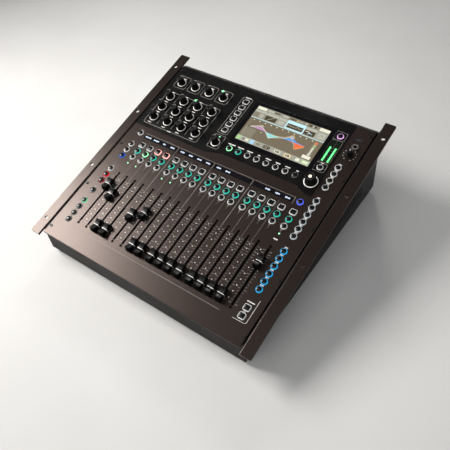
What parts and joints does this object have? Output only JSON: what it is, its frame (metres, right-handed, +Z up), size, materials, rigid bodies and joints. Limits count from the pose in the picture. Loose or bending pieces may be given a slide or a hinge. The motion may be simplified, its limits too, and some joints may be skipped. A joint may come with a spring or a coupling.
{
  "type": "mixing console",
  "caption": "Rack-width digital audio mixing console: sloping control surface with motor faders, lit keys, rotary controls, touch screen and rear sockets.",
  "frame": {"origin": "middle of the whole footprint, on the desk under the feet", "axes": "+X to the operator's right, +Y to the back with the sockets, +Z up"},
  "size_m": [0.4826, 0.4716, 0.1614],
  "materials": {
    "bronze_panel": "satin bronze-black paint",
    "case_paint": "fine textured black paint",
    "gloss_black": "high gloss black",
    "screen_glass": "glossy cover glass",
    "lens": "smoked lens",
    "key_plastic": "matte grey keys with clear light rings",
    "knob_rubber": "soft-touch black",
    "fader_plastic": "satin black",
    "fader_metal": "zinc plated steel",
    "socket_black": "glass-filled black plastic with nickel contacts",
    "foot_rubber": "matte",
    "screw_steel": "black zinc",
    "board_green": "solder mask green",
    "supply_metal": "plain",
    "rocker_plastic": "gloss black"
  },
  "bodies": {
    "console": {"audio_sockets": "socket_black", "chassis_tray": "case_paint", "circuit_boards": "board_green", "control_panel": "bronze_panel", "display_windows": "lens", "fader_mechanisms": "fader_metal", "feet": "foot_rubber", "gloss_panel": "gloss_black", "power_supply": "supply_metal", "rack_ear_left": "bronze_panel", "rack_ear_right": "bronze_panel", "rear_panel": "case_paint", "screws": "screw_steel", "touch_screen": "screen_glass"},
    "mute_buttons": {"mute_buttons": "key_plastic"},
    "select_buttons": {"select_buttons": "key_plastic"},
    "listen_buttons": {"listen_buttons": "key_plastic"},
    "left_buttons": {"left_buttons": "key_plastic"},
    "soft_buttons": {"soft_buttons": "key_plastic"},
    "layer_buttons": {"layer_buttons": "key_plastic"},
    "function_buttons": {"function_buttons": "key_plastic"},
    "screen_buttons": {"screen_buttons": "key_plastic"},
    "assign_buttons": {"assign_buttons": "key_plastic"},
    "side_knob": {"side_knob": "knob_rubber"},
    "main_encoder": {"main_encoder": "knob_rubber"},
    "phones_knob": {"phones_knob": "knob_rubber"},
    "input_knob_1": {"input_knob_1": "knob_rubber"},
    "input_knob_2": {"input_knob_2": "knob_rubber"},
    "input_knob_3": {"input_knob_3": "knob_rubber"},
    "input_knob_4": {"input_knob_4": "knob_rubber"},
    "upper_knob_1": {"upper_knob_1": "knob_rubber"},
    "upper_knob_2": {"upper_knob_2": "knob_rubber"},
    "upper_knob_3": {"upper_knob_3": "knob_rubber"},
    "upper_knob_4": {"upper_knob_4": "knob_rubber"},
    "middle_knob_1": {"middle_knob_1": "knob_rubber"},
    "middle_knob_2": {"middle_knob_2": "knob_rubber"},
    "middle_knob_3": {"middle_knob_3": "knob_rubber"},
    "middle_knob_4": {"middle_knob_4": "knob_rubber"},
    "lower_knob_1": {"lower_knob_1": "knob_rubber"},
    "lower_knob_2": {"lower_knob_2": "knob_rubber"},
    "lower_knob_3": {"lower_knob_3": "knob_rubber"},
    "lower_knob_4": {"lower_knob_4": "knob_rubber"},
    "fader_1": {"fader_1": "fader_plastic"},
    "fader_2": {"fader_2": "fader_plastic"},
    "fader_3": {"fader_3": "fader_plastic"},
    "fader_4": {"fader_4": "fader_plastic"},
    "fader_5": {"fader_5": "fader_plastic"},
    "fader_6": {"fader_6": "fader_plastic"},
    "fader_7": {"fader_7": "fader_plastic"},
    "fader_8": {"fader_8": "fader_plastic"},
    "fader_9": {"fader_9": "fader_plastic"},
    "fader_10": {"fader_10": "fader_plastic"},
    "fader_11": {"fader_11": "fader_plastic"},
    "fader_12": {"fader_12": "fader_plastic"},
    "fader_13": {"fader_13": "fader_plastic"},
    "fader_14": {"fader_14": "fader_plastic"},
    "fader_15": {"fader_15": "fader_plastic"},
    "fader_16": {"fader_16": "fader_plastic"},
    "fader_master": {"fader_master": "fader_plastic"},
    "power_rocker": {"power_rocker": "rocker_plastic"}
  },
  "joints": [
    {"name": "fader_1_slide", "type": "slide", "parent": "console", "child": "fader_1", "axis": [0, 0.9781, 0.2079], "range_m": [-0.079, 0.021]},
    {"name": "fader_2_slide", "type": "slide", "parent": "console", "child": "fader_2", "axis": [0, 0.9781, 0.2079], "range_m": [-0.0635, 0.0365]},
    {"name": "fader_3_slide", "type": "slide", "parent": "console", "child": "fader_3", "axis": [0, 0.9781, 0.2079], "range_m": [0, 0.1]},
    {"name": "fader_4_slide", "type": "slide", "parent": "console", "child": "fader_4", "axis": [0, 0.9781, 0.2079], "range_m": [0, 0.1]},
    {"name": "fader_5_slide", "type": "slide", "parent": "console", "child": "fader_5", "axis": [0, 0.9781, 0.2079], "range_m": [-0.0465, 0.0535]},
    {"name": "fader_6_slide", "type": "slide", "parent": "console", "child": "fader_6", "axis": [0, 0.9781, 0.2079], "range_m": [-0.06, 0.04]},
    {"name": "fader_7_slide", "type": "slide", "parent": "console", "child": "fader_7", "axis": [0, 0.9781, 0.2079], "range_m": [0, 0.1]},
    {"name": "fader_8_slide", "type": "slide", "parent": "console", "child": "fader_8", "axis": [0, 0.9781, 0.2079], "range_m": [0, 0.1]},
    {"name": "fader_9_slide", "type": "slide", "parent": "console", "child": "fader_9", "axis": [0, 0.9781, 0.2079], "range_m": [0, 0.1]},
    {"name": "fader_10_slide", "type": "slide", "parent": "console", "child": "fader_10", "axis": [0, 0.9781, 0.2079], "range_m": [0, 0.1]},
    {"name": "fader_11_slide", "type": "slide", "parent": "console", "child": "fader_11", "axis": [0, 0.9781, 0.2079], "range_m": [0, 0.1]},
    {"name": "fader_12_slide", "type": "slide", "parent": "console", "child": "fader_12", "axis": [0, 0.9781, 0.2079], "range_m": [0, 0.1]},
    {"name": "fader_13_slide", "type": "slide", "parent": "console", "child": "fader_13", "axis": [0, 0.9781, 0.2079], "range_m": [0, 0.1]},
    {"name": "fader_14_slide", "type": "slide", "parent": "console", "child": "fader_14", "axis": [0, 0.9781, 0.2079], "range_m": [0, 0.1]},
    {"name": "fader_15_slide", "type": "slide", "parent": "console", "child": "fader_15", "axis": [0, 0.9781, 0.2079], "range_m": [0, 0.1]},
    {"name": "fader_16_slide", "type": "slide", "parent": "console", "child": "fader_16", "axis": [0, 0.9781, 0.2079], "range_m": [0, 0.1]},
    {"name": "fader_master_slide", "type": "slide", "parent": "console", "child": "fader_master", "axis": [0, 0.9781, 0.2079], "range_m": [-0.076, 0.024]},
    {"name": "side_knob_turn", "type": "hinge", "parent": "console", "child": "side_knob", "pos_m": [-0.0377, 0.07063, 0.12949], "axis": [0, -0.2079, 0.9781], "continuous": true},
    {"name": "main_encoder_turn", "type": "hinge", "parent": "console", "child": "main_encoder", "pos_m": [0.1643, 0.07063, 0.12949], "axis": [0, -0.2079, 0.9781], "continuous": true},
    {"name": "phones_knob_turn", "type": "hinge", "parent": "console", "child": "phones_knob", "pos_m": [0.197, 0.14643, 0.1456], "axis": [0, -0.2079, 0.9781], "range_deg": [-150, 150]},
    {"name": "input_knob_1_turn", "type": "hinge", "parent": "console", "child": "input_knob_1", "pos_m": [-0.19, 0.16698, 0.14997], "axis": [0, -0.2079, 0.9781], "continuous": true},
    {"name": "input_knob_2_turn", "type": "hinge", "parent": "console", "child": "input_knob_2", "pos_m": [-0.15533, 0.16698, 0.14997], "axis": [0, -0.2079, 0.9781], "continuous": true},
    {"name": "input_knob_3_turn", "type": "hinge", "parent": "console", "child": "input_knob_3", "pos_m": [-0.12066, 0.16698, 0.14997], "axis": [0, -0.2079, 0.9781], "continuous": true},
    {"name": "input_knob_4_turn", "type": "hinge", "parent": "console", "child": "input_knob_4", "pos_m": [-0.08599, 0.16698, 0.14997], "axis": [0, -0.2079, 0.9781], "continuous": true},
    {"name": "upper_knob_1_turn", "type": "hinge", "parent": "console", "child": "upper_knob_1", "pos_m": [-0.19, 0.12736, 0.14155], "axis": [0, -0.2079, 0.9781], "continuous": true},
    {"name": "upper_knob_2_turn", "type": "hinge", "parent": "console", "child": "upper_knob_2", "pos_m": [-0.15533, 0.12736, 0.14155], "axis": [0, -0.2079, 0.9781], "continuous": true},
    {"name": "upper_knob_3_turn", "type": "hinge", "parent": "console", "child": "upper_knob_3", "pos_m": [-0.12066, 0.12736, 0.14155], "axis": [0, -0.2079, 0.9781], "continuous": true},
    {"name": "upper_knob_4_turn", "type": "hinge", "parent": "console", "child": "upper_knob_4", "pos_m": [-0.08599, 0.12736, 0.14155], "axis": [0, -0.2079, 0.9781], "continuous": true},
    {"name": "middle_knob_1_turn", "type": "hinge", "parent": "console", "child": "middle_knob_1", "pos_m": [-0.19, 0.09968, 0.13567], "axis": [0, -0.2079, 0.9781], "continuous": true},
    {"name": "middle_knob_2_turn", "type": "hinge", "parent": "console", "child": "middle_knob_2", "pos_m": [-0.15533, 0.09968, 0.13567], "axis": [0, -0.2079, 0.9781], "continuous": true},
    {"name": "middle_knob_3_turn", "type": "hinge", "parent": "console", "child": "middle_knob_3", "pos_m": [-0.12066, 0.09968, 0.13567], "axis": [0, -0.2079, 0.9781], "continuous": true},
    {"name": "middle_knob_4_turn", "type": "hinge", "parent": "console", "child": "middle_knob_4", "pos_m": [-0.08599, 0.09968, 0.13567], "axis": [0, -0.2079, 0.9781], "continuous": true},
    {"name": "lower_knob_1_turn", "type": "hinge", "parent": "console", "child": "lower_knob_1", "pos_m": [-0.19, 0.0721, 0.1298], "axis": [0, -0.2079, 0.9781], "continuous": true},
    {"name": "lower_knob_2_turn", "type": "hinge", "parent": "console", "child": "lower_knob_2", "pos_m": [-0.15533, 0.0721, 0.1298], "axis": [0, -0.2079, 0.9781], "continuous": true},
    {"name": "lower_knob_3_turn", "type": "hinge", "parent": "console", "child": "lower_knob_3", "pos_m": [-0.12066, 0.0721, 0.1298], "axis": [0, -0.2079, 0.9781], "continuous": true},
    {"name": "lower_knob_4_turn", "type": "hinge", "parent": "console", "child": "lower_knob_4", "pos_m": [-0.08599, 0.0721, 0.1298], "axis": [0, -0.2079, 0.9781], "continuous": true},
    {"name": "mute_buttons_press", "type": "slide", "parent": "console", "child": "mute_buttons", "axis": [0, 0.2079, -0.9781], "range_m": [0, 0.001], "stiffness_N_per_m": 1500, "springref_m": -0.0005},
    {"name": "select_buttons_press", "type": "slide", "parent": "console", "child": "select_buttons", "axis": [0, 0.2079, -0.9781], "range_m": [0, 0.001], "stiffness_N_per_m": 1500, "springref_m": -0.0005},
    {"name": "listen_buttons_press", "type": "slide", "parent": "console", "child": "listen_buttons", "axis": [0, 0.2079, -0.9781], "range_m": [0, 0.001], "stiffness_N_per_m": 1500, "springref_m": -0.0005},
    {"name": "left_buttons_press", "type": "slide", "parent": "console", "child": "left_buttons", "axis": [0, 0.2079, -0.9781], "range_m": [0, 0.001], "stiffness_N_per_m": 1500, "springref_m": -0.0005},
    {"name": "soft_buttons_press", "type": "slide", "parent": "console", "child": "soft_buttons", "axis": [0, 0.2079, -0.9781], "range_m": [0, 0.001], "stiffness_N_per_m": 1500, "springref_m": -0.0005},
    {"name": "layer_buttons_press", "type": "slide", "parent": "console", "child": "layer_buttons", "axis": [0, 0.2079, -0.9781], "range_m": [0, 0.001], "stiffness_N_per_m": 1500, "springref_m": -0.0005},
    {"name": "function_buttons_press", "type": "slide", "parent": "console", "child": "function_buttons", "axis": [0, 0.2079, -0.9781], "range_m": [0, 0.001], "stiffness_N_per_m": 1500, "springref_m": -0.0005},
    {"name": "screen_buttons_press", "type": "slide", "parent": "console", "child": "screen_buttons", "axis": [0, 0.2079, -0.9781], "range_m": [0, 0.001], "stiffness_N_per_m": 1500, "springref_m": -0.0005},
    {"name": "assign_buttons_press", "type": "slide", "parent": "console", "child": "assign_buttons", "axis": [0, 0.2079, -0.9781], "range_m": [0, 0.001], "stiffness_N_per_m": 1500, "springref_m": -0.0005},
    {"name": "power_rocker_tilt", "type": "hinge", "parent": "console", "child": "power_rocker", "pos_m": [0.19, 0.21982, 0.108], "axis": [1, 0, 0], "range_deg": [0, 16]}
  ]
}
